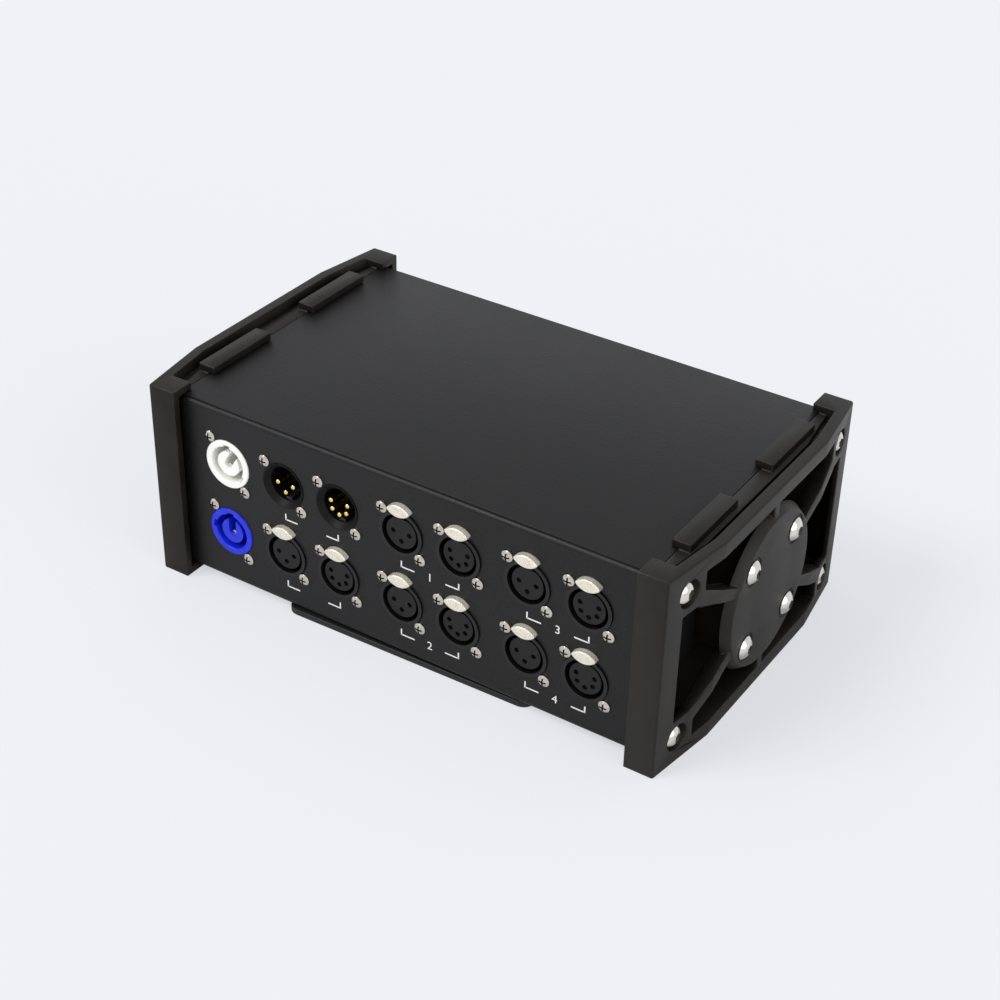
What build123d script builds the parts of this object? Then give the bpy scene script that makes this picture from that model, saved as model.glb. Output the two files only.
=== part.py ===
from build123d import *
import math
import os

# A splitter box for stage lighting data: a folded steel box between two moulded cheeks.
# Millimetres. The origin is the bottom centre, +X runs along the front panel to the right,
# +Y runs to the rear and +Z up. The cheeks stand on the surface at Z = 0.

# Box
box_width = 248.5            # over the side walls of the base tray
box_depth = 160.0            # front panel face to rear panel face
box_height = 94.0            # lower edge of the panels to the top of the lid
foot_height = 4.0            # lower edge of the panels above the surface
tray_sheet = 1.2
panel_sheet = 1.5
cover_sheet = 1.0
fold_radius = 2.4            # outside of the panel folds
panel_flange = 12.0          # depth of the folded flanges of a panel
cover_setback = 1.5          # lid edge behind the face of the panel
cover_side_gap = 0.25        # lid edge to the cheek
cover_flange = 17.0          # height of the lid's two side flanges
sheet_gap = 0.1              # between sheets that lie beside each other

# Cheeks
cheek_thickness = 16.75      # box side to the flat middle of the outer face
cheek_projection = 6.5       # past the front and rear panels
cheek_over = 4.0             # above the lid, and as far below the box
bow_drop = 5.5               # the outer face falls back by this at its front and rear edges
bow_flat = 48.0              # half length of the flat middle of the outer face
edge_round = 1.0
lip_thickness = 4.0          # the wall that hides the edge of a panel
lip_reach = 3.25             # how far the lip reaches over the panel
seat_gap = 0.2               # corner blocks to the lid
block_length = 12.5          # corner blocks on the top and bottom edges
rim_thickness = 5.4
groove_width = 3.7
groove_depth = 2.4
lug_outset = 5.55            # outer edge of a lug from the box side
lug_start = 16.2             # from the middle to the near end of a lug
lug_length = 42.0
side_bar = 11.8              # upright bars of the lattice
top_bar = 7.8                # top and bottom bars of the lattice
lattice_depth = 6.5          # thickness of the bars and spokes below the flat face
cavity_wall = 7.5            # front and rear walls behind the lattice
corner_width = 26.2          # solid corners of the lattice
corner_height = 23.3
spoke_root = 4.8             # width of a spoke at the hub
spoke_tip = 7.3              # width of a spoke at its corner
spoke_aim_in = 2.1           # the spoke aims past the inner point of the corner by these two
spoke_aim_up = 3.05
rib_width = 4.6
hub_radius = 36.3
hub_proud = 1.0              # hub face beyond the flat face
hub_flare = 3.3              # the hub's side widens by this
flare_drop = 3.5             # lower edge of the flare below the flat face
spine_inset = 0.3            # full-depth spines behind the spokes, in from each side
hub_wall = 5.0               # wall behind the hub rim
boss_radius = 7.0

# Cheek screws and their nuts
cheek_screw_radius = 2.5
cheek_head_radius = 5.5
cheek_head_height = 3.6
cheek_head_rim = 0.9
cheek_key_width = 4.0        # hexagon socket
cheek_key_depth = 1.9
corner_head_seat = 3.0       # below the face at the screw
cheek_screw_clearance = 0.3
corner_screw_in = 15.5       # from the front and rear edges of the cheek
corner_screw_down = 13.5     # from the top and bottom edges of the cheek
hub_screw_offset = 20.1
corner_pocket_radius = 6.6
hub_pocket_radius = 7.0
hub_pocket_depth = 0.9
cheek_nut_width = 8.0
cheek_nut_height = 4.0
screw_past_nut = 1.0

# Socket layout
power_gap = 32.2             # power column to the first data column
pair_pitch = 30.3            # 3 pin to 5 pin column of a pair
pair_gap = 35.0              # 5 pin column to the next pair
row_pitch = 37.2
cutout_gap = 0.2             # round a socket in the panel

# Sockets
flange_width = 26.0
flange_height = 31.0
flange_thickness = 2.0
flange_corner = 2.5
barrel_radius = 11.4         # the ring in the panel
barrel_back_radius = 11.0    # behind the flange, clear of the nuts
barrel_depth = 18.0          # panel face to the back of the barrel
barrel_floor = 2.0
floor_opening_radius = 6.8
data_screw_offset = 10.2
fit_gap = 0.05               # inserts, pins and contacts in their seats

# Female data sockets
female_proud = 0.8
female_bore_radius = 9.7
female_flange_rise = 1.25    # the flange sits this much above the socket axis
insert_radius = 7.9
insert_recess = 0.1
insert_base = 1.5
insert_flat = 7.2            # flat on top of the insert
contact_hole_radius = 1.25
three_radius = 4.3
three_step = 90.0
five_radius = 4.8
five_step = 54.0
contact_bore = 0.85
contact_recess = 2.0
contact_bore_depth = 9.0
tail_radius = 0.6

# Push tabs
tab_width = 12.4             # over the two points of the lens
tab_height = 6.0
tab_point_round = 0.9
tab_rise = 12.6              # above the socket axis
tab_proud = 3.0
tab_travel = 1.6
tab_gap = 0.1
tab_round = 0.7
foot_side = 0.7              # the tab's foot behind the flange, past each side
foot_up = 0.8
foot_thickness = 1.2

# Male data sockets
male_proud = 0.4
male_bore_radius = 8.6
mouth_rim = 0.5              # flat rim outside the wide chamfer
mouth_depth = 2.4
male_insert_thickness = 2.5
pin_recess = 1.2             # pin tips behind the panel face
pin_radius = 1.2
pin_nose = 0.7               # rounding of a pin's tip
earth_tab_width = 3.0
earth_tab_thickness = 0.5
earth_tab_recess = 4.0
earth_tab_length = 9.0
earth_tab_gap = 0.15

# Power sockets
power_radius = 12.3
power_back_radius = 11.8
power_proud = 0.7
power_round = 0.6
power_bore_radius = 9.0
power_depth = 22.0
power_floor = 3.0
power_screw_x = 9.5
power_screw_z = 12.0
hub_post_radius = 6.2
hub_post_recess = 0.3
key_width = 4.0
key_depth = 1.3
key_length = 6.0
post_slot_width = 4.2        # open slot from the middle of the post to its side
post_slot_depth = 9.0
centre_contact_radius = 1.1
centre_contact_offset = 1.3
centre_contact_recess = 1.6
blade_width = 3.4            # two flat contacts in the groove round the post
blade_thickness = 1.2
blade_height = 7.0
blade_circle = 7.6
blade_angles = (-20.0, 200.0)
blade_tail = 4.0

# Socket screws and nuts
socket_screw_radius = 1.5
socket_head_radius = 2.9
socket_head_height = 1.9
socket_head_rim = 0.7
socket_screw_clearance = 0.15
socket_nut_width = 5.5
socket_nut_height = 2.4
recess_width_share = 0.28    # cross recess against the head's radius
recess_reach_share = 0.62
recess_depth_share = 0.5

# Splitter board
board_depth = 21.0           # panel face to the front of the board
board_thickness = 1.6
board_margin_x = 14.0        # past the outer sockets
board_margin_z = 18.0
isolator_size = (9.5, 4.0, 7.6)
driver_size = (5.0, 1.8, 4.0)
converter_size = (20.0, 10.0, 12.0)
chip_spacing = 12.0

# Power supply
supply_width = 96.0
supply_depth = 66.0
supply_x = -62.0             # middle of the board
supply_y = 36.0
pillar_radius = 3.0
pillar_height = 8.0
pillar_inset = 5.0
transformer_size = (40.0, 34.0, 32.0)
transformer_wall = 6.0       # core legs beside the coil
capacitor_radius = 6.0
capacitor_height = 22.0
capacitor_pitch = 15.0
capacitor_bevel = 0.5
terminal_size = (24.0, 9.0, 11.0)
terminal_hollow = 1.5
terminal_edge_gap = 1.0      # terminals from the front edge of the supply board
supply_screw_length = 4.8
supply_inset = 8.0           # parts from the edge of the supply board

# Wires
mains_radius = 1.2
mains_step = 4.8             # between neighbouring loops
wire_bend = 6.0
wire_pitch = 6.0
link_loop = 13.0             # how far the link wires stand back from the sockets
low_voltage_radius = 0.8
low_voltage_step = 3.2

# Panel screws
panel_screw_x = 100.0
panel_screw_in = 7.0         # from the face of the panel
panel_screw_length = 6.0

# Mounting plate
plate_width = 133.0
plate_depth = 160.2
plate_thickness = 3.0
plate_corner = 6.0
plate_above_floor = 0.4
plate_turn = 1.2             # degrees, as it stands in the photograph
plate_hole_radius = 2.5      # tapped M6
plate_hole_circle = 110.0    # pitch circle of the tapped holes
bolt_radius = 3.0
bolt_head_radius = 5.7
bolt_head_recess = 0.2
bolt_socket_width = 4.0
bolt_socket_depth = 1.4
running_gap = 0.05
washer_radius = 10.0
bolt_nut_width = 10.0
bolt_nut_height = 5.0

# Worked out from the sizes above
box_half = box_width / 2
front_y = -box_depth / 2
box_top = foot_height + box_height
sheet_top = box_top - cover_sheet
tray_bottom = foot_height + panel_sheet
tray_floor = tray_bottom + tray_sheet
panel_half = box_half - tray_sheet - sheet_gap
flange_half = panel_half - cover_sheet - 3 * sheet_gap
total_height = box_top + cheek_over
mid_height = foot_height + box_height / 2
cheek_half = box_depth / 2 + cheek_projection
cheek_bottom = foot_height - cheek_over
cheek_face = box_half + cheek_thickness
lattice_back = cheek_face - lattice_depth
half_rise = total_height - mid_height
CORNER_Y = cheek_half - corner_width
CORNER_Z = half_rise - corner_height
corner_screw_y = cheek_half - corner_screw_in
corner_screw_z = half_rise - corner_screw_down
hub_face = cheek_face + hub_proud

AXIS_ALIGN = (Align.CENTER, Align.CENTER, Align.MIN)
QUADRANTS = [(sy, sz) for sy in (-1, 1) for sz in (-1, 1)]


def block(x0, x1, y0, y1, z0, z1):
    """A box between two opposite corners."""
    return Pos((x0 + x1) / 2, (y0 + y1) / 2, (z0 + z1) / 2) * Box(x1 - x0, y1 - y0, z1 - z0)


def rod(radius, z0, z1):
    """A round bar along Z between two heights."""
    return Pos(0, 0, z0) * Cylinder(radius, z1 - z0, align=AXIS_ALIGN)


def side_rod(radius, x0, x1, y, z):
    """A round bar along X between two places."""
    return Pos(x0, y, z) * Rot(0, 90, 0) * Cylinder(radius, x1 - x0, align=AXIS_ALIGN)


def slab(sketch, z0, z1):
    """A flat sketch given thickness between two heights."""
    return Pos(0, 0, z0) * extrude(sketch, amount=z1 - z0)


def group(shapes):
    """Separate solids kept together as one node."""
    return Compound(children=[solid for shape in shapes for solid in shape.solids()])


def mirrored(shape):
    """The same piece on the other side of the box."""
    return mirror(shape, about=Plane.YZ)


def socket_place(x, z):
    """Frame on the panel face: its X is the box's X, its Y is up and its Z points out."""
    return Plane(origin=(x, front_y, z), x_dir=(1, 0, 0), z_dir=(0, -1, 0)).location


def domed_head(radius, height, rim):
    """A screw head with its underside at zero: a short rim under a shallow dome."""
    rise = height - rim
    ball = (radius ** 2 + rise ** 2) / (2 * rise)
    return rod(radius, 0, height) & Pos(0, 0, height - ball) * Sphere(ball)


def cross_screw(radius, length, head_radius, head_height, rim):
    """A screw pointing down from zero, with a cross recess in its domed head."""
    arm = 2 * recess_reach_share * head_radius
    width = recess_width_share * head_radius
    depth = recess_depth_share * head_height
    recess = Box(arm, width, 2 * depth) + Box(width, arm, 2 * depth)
    head = domed_head(head_radius, head_height, rim) - Pos(0, 0, head_height) * recess
    return head + rod(radius, -length, 0)


def key_screw(radius, length, head_radius, head_height, rim):
    """A screw pointing down from zero, with a hexagon socket in its domed head."""
    key = slab(RegularPolygon(cheek_key_width / 2, 6, major_radius=False),
               head_height - cheek_key_depth, head_height + 1)
    return domed_head(head_radius, head_height, rim) - key + rod(radius, -length, 0)


def hex_nut(width, height, bore_radius):
    """A nut standing on zero."""
    outline = RegularPolygon(width / 2, 6, major_radius=False)
    return extrude(outline, amount=height) - rod(bore_radius, -height, 2 * height)


def face_at(y):
    """How far out the bowed outer face of a cheek stands at a place along it."""
    past = max(0.0, abs(y) - bow_flat)
    return cheek_face - bow_drop * past / (cheek_half - bow_flat)


# Base tray, panels and lid

def cheek_screw_places():
    """Depth and height of the eight screws of a cheek, and where each head seats."""
    corner_seat = face_at(corner_screw_y) - corner_head_seat
    hub_seat = hub_face - hub_pocket_depth
    corners = [(sy * corner_screw_y, mid_height + sz * corner_screw_z, corner_seat) for sy, sz in QUADRANTS]
    hub = [(sy * hub_screw_offset, mid_height + sz * hub_screw_offset, hub_seat) for sy, sz in QUADRANTS]
    return corners + hub


def inner_wall_at(z):
    """Inner face of the box side: the lid's flange lies inside the tray wall near the top."""
    wall = box_half - tray_sheet
    under_lid = z + cheek_nut_width > sheet_top - cover_flange
    return wall - sheet_gap - cover_sheet if under_lid else wall


def cheek_screw_holes():
    """Clearance holes for the cheek screws through both sides of the box."""
    reach = box_half + 1
    radius = cheek_screw_radius + cheek_screw_clearance
    return [side_rod(radius, -reach, reach, y, z) for y, z, seat in cheek_screw_places()]


def panel_screw_places():
    """The four screws that hold the panels' bottom flanges to the tray."""
    y = box_depth / 2 - panel_screw_in
    return [(sx * panel_screw_x, sy * y) for sx, sy in QUADRANTS]


def base_tray():
    """Floor and two side walls in one folded sheet."""
    floor_half = box_depth / 2 - fold_radius - sheet_gap
    tray = block(-box_half, box_half, -floor_half, floor_half, tray_bottom, tray_floor)
    for side in (-1, 1):
        inner, outer = sorted((side * (box_half - tray_sheet), side * box_half))
        tray += block(inner, outer, front_y, -front_y, tray_bottom, sheet_top)
    for hole in cheek_screw_holes():
        tray -= hole
    for x, y in panel_screw_places():
        tray -= Pos(x, y, 0) * rod(socket_screw_radius + fit_gap, foot_height, tray_floor + 1)
    tray -= rod(bolt_radius + fit_gap, foot_height, tray_floor + 1)
    return tray


def folded_panel():
    """A front panel with no cut-outs: face, top flange and bottom flange."""
    height = sheet_top - foot_height
    middle = (front_y + panel_flange / 2, foot_height + height / 2)
    outer = Pos(*middle) * Rectangle(panel_flange, height)
    outer = fillet(outer.vertices().sort_by(Axis.X)[:2], fold_radius)
    inner = Pos(middle[0] + panel_sheet, middle[1]) * Rectangle(panel_flange, height - 2 * panel_sheet)
    inner = fillet(inner.vertices().sort_by(Axis.X)[:2], fold_radius - panel_sheet)
    panel = extrude(Plane.YZ * (outer - inner), amount=flange_half, both=True)
    panel += block(-panel_half, panel_half, front_y, front_y + panel_sheet,
                   foot_height + fold_radius, sheet_top - fold_radius)
    for x, y in panel_screw_places():
        clear = socket_screw_radius + socket_screw_clearance
        panel -= Pos(x, -abs(y), 0) * rod(clear, foot_height - 1, tray_bottom + fit_gap)
    return panel


def top_cover():
    """Flat lid with a flange down each side, inside the tray walls."""
    lid_half = box_half - cover_side_gap
    lid_end = box_depth / 2 - cover_setback
    lid = block(-lid_half, lid_half, -lid_end, lid_end, sheet_top, box_top)
    flange_end = box_depth / 2 - panel_sheet - 2 * cover_sheet
    for side in (-1, 1):
        inner, outer = sorted((side * (panel_half - cover_sheet), side * panel_half))
        lid += block(inner, outer, -flange_end, flange_end, sheet_top - cover_flange, sheet_top)
    for hole in cheek_screw_holes():
        lid -= hole
    return lid


# Cheeks

def cheek_plan(inner, inset, half):
    """Plan of a cheek from an inner line to its bowed face less an inset."""
    end = face_at(half)
    flat = min(bow_flat, half)
    points = [(inner, -half), (end - inset, -half), (cheek_face - inset, -flat)]
    points += [(x, -y) for x, y in reversed(points)]
    return Polygon(*points, align=None)


def spokes(inset):
    """Four tapering spokes from the hub to the corners, with the hub centre at the origin."""
    aim = Vector(CORNER_Y + spoke_aim_in, CORNER_Z + spoke_aim_up)
    along = aim.normalized()
    across = Vector(-along.Y, along.X)
    root = along * (hub_radius - spoke_root)
    near = across * (spoke_root / 2 - inset)
    far = across * (spoke_tip / 2 - inset)
    solid = Sketch()
    for sy, sz in QUADRANTS:
        corners = [root - near, aim - far, aim + far, root + near][::sy * sz]
        solid += Polygon(*[(sy * p.X, sz * p.Y) for p in corners], align=None)
    return solid


def lattice_solids():
    """Hub, ribs, spokes and corners of the lattice, with the hub centre at the origin."""
    solid = Circle(hub_radius) + Rectangle(rib_width, 2 * half_rise) + spokes(0)
    for sy, sz in QUADRANTS:
        middle = (sy * (CORNER_Y + corner_width / 2), sz * (CORNER_Z + corner_height / 2))
        solid += Pos(*middle) * Rectangle(corner_width, corner_height)
    return solid


def across_cheek(sketch, x0, x1):
    """A sketch of the cheek's side view, given depth between two places along X."""
    return Pos(x0, 0, mid_height) * extrude(Plane.YZ * sketch, amount=x1 - x0)


def right_cheek():
    """Moulded end cheek: bowed lattice face, rim and trough, corner blocks, lips, lugs and bosses."""
    plan = cheek_plan(box_half, 0, cheek_half)
    cheek = slab(plan, cheek_bottom, total_height)
    outer_edges = cheek.edges().filter_by(lambda e: e.center().X > box_half + cheek_thickness / 2)
    cheek = fillet(outer_edges, edge_round)

    window_half = cheek_half - side_bar
    window_rise = half_rise - top_bar
    cavity_half = cheek_half - cavity_wall
    cheek -= block(box_half, lattice_back, -cavity_half, cavity_half,
                   mid_height - window_rise, mid_height + window_rise)
    windows = Rectangle(2 * window_half, 2 * window_rise) - lattice_solids()
    cheek -= across_cheek(windows, lattice_back, cheek_face + 1)
    flare = Cone(hub_radius + hub_flare, hub_radius, flare_drop + hub_proud, align=AXIS_ALIGN)
    cheek += Pos(cheek_face - flare_drop, 0, mid_height) * Rot(0, 90, 0) * flare

    trough_half = cheek_half - block_length
    trough = cheek_plan(box_half, rim_thickness, trough_half)
    groove = trough - cheek_plan(box_half, rim_thickness + groove_width, trough_half)
    inboard = box_half - lip_reach
    for low, high, bed in ((box_top, total_height, box_top - groove_depth),
                           (cheek_bottom, foot_height, foot_height + groove_depth)):
        cheek -= slab(trough, low, high)
        cheek -= slab(groove, min(bed, low), max(bed, high))
        seat = seat_gap if low == box_top else 0
        rest = seat_gap if high == foot_height else 0
        for sy in (-1, 1):
            near, far = sorted((sy * trough_half, sy * cheek_half))
            cheek += block(inboard, box_half, near, far, low + seat, high - rest)
            near, far = sorted((sy * lug_start, sy * (lug_start + lug_length)))
            cheek += block(inboard, box_half + lug_outset, near, far, low + seat, high - rest)
            cheek += block(box_half, box_half + lug_outset, near, far, low, high)
    for sy in (-1, 1):
        near, far = sorted((sy * (cheek_half - lip_thickness), sy * cheek_half))
        cheek += block(inboard, box_half, near, far, cheek_bottom, total_height)

    behind = Circle(hub_radius) + spokes(spine_inset) - Circle(hub_radius - hub_wall)
    cheek += across_cheek(behind, box_half, lattice_back)
    cheek += side_rod(hub_radius, lattice_back, hub_face, 0, mid_height)
    for y, z, seat in cheek_screw_places():
        cheek += side_rod(boss_radius, box_half, lattice_back, y, z)
        pocket = corner_pocket_radius if abs(y) > hub_radius else hub_pocket_radius
        cheek -= side_rod(pocket, seat, hub_face + 1, y, z)
        cheek -= side_rod(cheek_screw_radius + cheek_screw_clearance, box_half - 1, seat + 1, y, z)
    return cheek


def right_cheek_screws():
    """Eight domed screws, each as long as its own way to the nut."""
    screws = []
    for y, z, seat in cheek_screw_places():
        length = seat - inner_wall_at(z) + cheek_nut_height + screw_past_nut
        screw = key_screw(cheek_screw_radius, length, cheek_head_radius, cheek_head_height, cheek_head_rim)
        screws.append(Pos(seat, y, z) * Rot(0, 90, 0) * screw)
    return group(screws)


def cheek_screw_nuts():
    """Sixteen nuts against the inner faces of the box sides."""
    nut = Rot(0, 90, 0) * hex_nut(cheek_nut_width, cheek_nut_height, cheek_screw_radius + fit_gap)
    right = [Pos(inner_wall_at(z) - cheek_nut_height, y, z) * nut for y, z, seat in cheek_screw_places()]
    return group(right + [mirrored(n) for n in right])


# Socket places

def columns():
    """X of the seven socket columns, centred on the panel."""
    steps = [power_gap, pair_pitch, pair_gap, pair_pitch, pair_gap, pair_pitch]
    places = [-sum(steps) / 2]
    for step in steps:
        places.append(places[-1] + step)
    return places


COLUMN = columns()
UPPER = mid_height + row_pitch / 2
LOWER = mid_height - row_pitch / 2
POWER_PLACES = {"power_in": (COLUMN[0], LOWER), "power_link": (COLUMN[0], UPPER)}
POWER_KEYS = {"power_in": (90, 170), "power_link": (90, -35)}
POWER_SLOTS = {"power_in": 90, "power_link": 60}
MALE_PLACES = {"input_3pin": (COLUMN[1], UPPER), "input_5pin": (COLUMN[2], UPPER)}
FEMALE_PLACES = {
    "link_3pin": (COLUMN[1], LOWER), "link_5pin": (COLUMN[2], LOWER),
    "output_1_3pin": (COLUMN[3], UPPER), "output_1_5pin": (COLUMN[4], UPPER),
    "output_2_3pin": (COLUMN[3], LOWER), "output_2_5pin": (COLUMN[4], LOWER),
    "output_3_3pin": (COLUMN[5], UPPER), "output_3_5pin": (COLUMN[6], UPPER),
    "output_4_3pin": (COLUMN[5], LOWER), "output_4_5pin": (COLUMN[6], LOWER),
}
PLATE_BACK = -panel_sheet
FLANGE_BACK = PLATE_BACK - flange_thickness


def contact_count(name):
    """Contacts of a data socket, as its name says."""
    return int(name[-len("3pin")])


def contact_points(count):
    """Where the contacts of a data socket lie, seen from the front."""
    radius = three_radius if count == 3 else five_radius
    step = three_step if count == 3 else five_step
    angles = [math.radians(-90 + step * (k - (count - 1) / 2)) for k in range(count)]
    return [(radius * math.cos(a), radius * math.sin(a)) for a in angles]


def screw_points(across, up):
    """The two screws of a socket: upper left and lower right."""
    return [(-across, up), (across, -up)]


def all_screw_places():
    """Every socket screw with the frame of its socket."""
    found = []
    for x, z in POWER_PLACES.values():
        found += [(socket_place(x, z), p) for p in screw_points(power_screw_x, power_screw_z)]
    for x, z in [*MALE_PLACES.values(), *FEMALE_PLACES.values()]:
        found += [(socket_place(x, z), p) for p in screw_points(data_screw_offset, data_screw_offset)]
    return found


def tab_outline(extra):
    """Lens outline of a push tab with rounded points, grown all round."""
    half_long = tab_width / 2 + extra
    half_high = tab_height / 2 + extra
    arc = (half_long ** 2 + half_high ** 2) / (2 * half_high)
    lens = Pos(0, half_high - arc) * Circle(arc) & Pos(0, arc - half_high) * Circle(arc)
    return Pos(0, tab_rise) * fillet(lens.vertices(), tab_point_round + extra)


def front_panel():
    """Folded panel with a cut-out for every socket and its screws."""
    panel = folded_panel()
    depth = panel_sheet + 1
    power_hole = slab(Circle(power_radius + cutout_gap), -depth, 1)
    male_hole = slab(Circle(barrel_radius + cutout_gap), -depth, 1)
    female_hole = slab(Circle(barrel_radius + cutout_gap) + tab_outline(cutout_gap), -depth, 1)
    for x, z in POWER_PLACES.values():
        panel -= socket_place(x, z) * power_hole
    for x, z in MALE_PLACES.values():
        panel -= socket_place(x, z) * male_hole
    for x, z in FEMALE_PLACES.values():
        panel -= socket_place(x, z) * female_hole
    screw_hole = rod(socket_screw_radius + socket_screw_clearance, -depth, 1)
    for place, (px, py) in all_screw_places():
        panel -= place * Pos(px, py, 0) * screw_hole
    return panel


def socket_flange(rise, holes):
    """Plate behind the panel that carries a socket."""
    outline = Pos(0, rise) * RectangleRounded(flange_width, flange_height, flange_corner)
    plate = slab(outline, FLANGE_BACK, PLATE_BACK)
    for px, py in holes:
        plate -= Pos(px, py, 0) * rod(socket_screw_radius + socket_screw_clearance, FLANGE_BACK - 1, 0)
    return plate


def female_shell():
    """Flange, barrel with its groove, and the guide slot of the push tab."""
    shell = socket_flange(female_flange_rise, screw_points(data_screw_offset, data_screw_offset))
    shell += rod(barrel_radius, FLANGE_BACK, female_proud) + rod(barrel_back_radius, -barrel_depth, FLANGE_BACK)
    shell -= rod(female_bore_radius, barrel_floor - barrel_depth, female_proud + 1)
    shell -= rod(floor_opening_radius, -barrel_depth - 1, 0)
    shell -= slab(tab_outline(tab_gap), FLANGE_BACK - 1, female_proud + 1)
    room = tab_travel + foot_thickness + 4 * tab_gap
    half = tab_width / 2 + foot_side + tab_gap
    low = tab_rise - tab_height / 2 - tab_gap
    high = tab_rise + tab_height / 2 + foot_up + tab_gap
    shell -= block(-half, half, low, high, FLANGE_BACK - room, FLANGE_BACK)
    return shell


def push_tab():
    """Rounded tab with a wider foot that stays behind the flange."""
    tab = slab(tab_outline(0), FLANGE_BACK - tab_gap, tab_proud)
    front = tab.faces().sort_by(Axis.Z)[-1]
    tab = fillet(front.edges(), tab_round)
    half = tab_width / 2 + foot_side
    low = tab_rise - tab_height / 2
    high = tab_rise + tab_height / 2 + foot_up
    back = FLANGE_BACK - tab_gap
    return tab + block(-half, half, low, high, back - foot_thickness, back)


def female_insert(count):
    """Round core with a flat on top and a hole for each contact."""
    floor = barrel_floor - barrel_depth
    core = rod(insert_radius, floor, -insert_recess)
    core -= block(-insert_radius, insert_radius, insert_flat, barrel_radius, floor + insert_base, 1)
    core += rod(female_bore_radius - fit_gap, floor, floor + insert_base)
    for px, py in contact_points(count):
        core -= Pos(px, py, 0) * rod(contact_hole_radius, floor - 1, 1)
    return core


def female_contact():
    """Sleeve in the insert with a tail that ends on the splitter board."""
    sleeve = rod(contact_hole_radius - fit_gap, -barrel_depth, -contact_recess)
    sleeve -= rod(contact_bore, -contact_recess - contact_bore_depth, 0)
    return sleeve + rod(tail_radius, -board_depth, -barrel_depth)


def male_shell():
    """Flange and barrel with a wide chamfered mouth."""
    shell = socket_flange(0, screw_points(data_screw_offset, data_screw_offset))
    shell += rod(barrel_radius, FLANGE_BACK, male_proud) + rod(barrel_back_radius, -barrel_depth, FLANGE_BACK)
    shell -= rod(male_bore_radius, barrel_floor - barrel_depth, male_proud + 1)
    mouth = Cone(male_bore_radius, barrel_radius - mouth_rim, mouth_depth, align=AXIS_ALIGN)
    shell -= Pos(0, 0, male_proud - mouth_depth) * mouth
    return shell - rod(floor_opening_radius, -barrel_depth - 1, 0)


def male_insert(count):
    """Disc at the bottom of the barrel that holds the pins."""
    floor = barrel_floor - barrel_depth
    disc = rod(male_bore_radius - fit_gap, floor, floor + male_insert_thickness)
    for px, py in contact_points(count):
        disc -= Pos(px, py, 0) * rod(pin_radius + fit_gap, floor - 1, 0)
    return disc


def male_pin():
    """Pin with a rounded tip and a tail that ends on the splitter board."""
    pin = rod(pin_radius, -barrel_depth, -pin_recess)
    pin = fillet(pin.edges().sort_by(Axis.Z)[-1], pin_nose)
    return pin + rod(tail_radius, -board_depth, -barrel_depth)


def earth_tab():
    """Flat spring contact on the lower wall of a male socket."""
    outer = male_bore_radius - earth_tab_gap
    half = earth_tab_width / 2
    floor = barrel_floor - barrel_depth + male_insert_thickness
    back = max(floor, -earth_tab_recess - earth_tab_length)
    return block(-half, half, -outer, earth_tab_thickness - outer, back, -earth_tab_recess)


def power_shell(key_angles):
    """Flange and barrel of a power socket, with key slots in its bore."""
    shell = socket_flange(0, screw_points(power_screw_x, power_screw_z))
    barrel = rod(power_radius, FLANGE_BACK, power_proud) + rod(power_back_radius, -power_depth, FLANGE_BACK)
    barrel -= rod(power_bore_radius, -power_depth, power_proud + 1)
    mouth = barrel.faces().sort_by(Axis.Z)[-1]
    shell += fillet(mouth.edges(), power_round)
    shell -= rod(power_bore_radius, -power_depth + power_floor, PLATE_BACK)
    shell += rod(power_bore_radius, -power_depth, -power_depth + power_floor)
    shell -= rod(hub_post_radius + fit_gap, -power_depth - 1, 0)
    reach = power_bore_radius + key_depth
    key = block(0, reach, -key_width / 2, key_width / 2, power_proud - key_length, power_proud + 1)
    key -= rod(power_bore_radius - 1, -key_length, power_proud + 1)
    for angle in key_angles:
        shell -= Rot(0, 0, angle) * key
    for place in blade_places():
        shell -= place * Box(blade_thickness + 2 * fit_gap, blade_width + 2 * fit_gap, 3 * power_depth)
    return shell


def blade_places():
    """Places of the two flat contacts in the groove of a power socket."""
    return [Rot(0, 0, angle) * Pos(blade_circle, 0, 0) for angle in blade_angles]


def power_post(slot_angle):
    """Centre post of a power socket, slotted from its middle to one side."""
    post = rod(hub_post_radius, -power_depth, -hub_post_recess)
    slot = block(0, 2 * hub_post_radius, -post_slot_width / 2, post_slot_width / 2, -post_slot_depth, 1)
    slot += rod(post_slot_width / 2, -post_slot_depth, 1)
    post -= Rot(0, 0, slot_angle) * slot
    hole = rod(centre_contact_radius + fit_gap, -power_depth - 1, 1)
    return post - Pos(0, -centre_contact_offset, 0) * hole


def power_blades():
    """A round contact in the post and two flat ones in the groove, with their tails behind."""
    end = -power_depth - blade_tail
    top = -power_depth + power_floor + blade_height
    blade = block(-blade_thickness / 2, blade_thickness / 2, -blade_width / 2, blade_width / 2, end, top)
    centre = Pos(0, -centre_contact_offset, 0) * rod(centre_contact_radius, end, -centre_contact_recess)
    return [centre] + [place * blade for place in blade_places()]


# Boards, supply and wires

BOARD_FRONT = front_y + board_depth
BOARD_BACK = BOARD_FRONT + board_thickness
SUPPLY_UNDER = tray_floor + pillar_height
SUPPLY_TOP = SUPPLY_UNDER + board_thickness


def splitter_board():
    """Upright board that the data sockets are soldered to."""
    return block(COLUMN[1] - board_margin_x, COLUMN[6] + board_margin_x, BOARD_FRONT, BOARD_BACK,
                 LOWER - board_margin_z, UPPER + board_margin_z)


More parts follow.
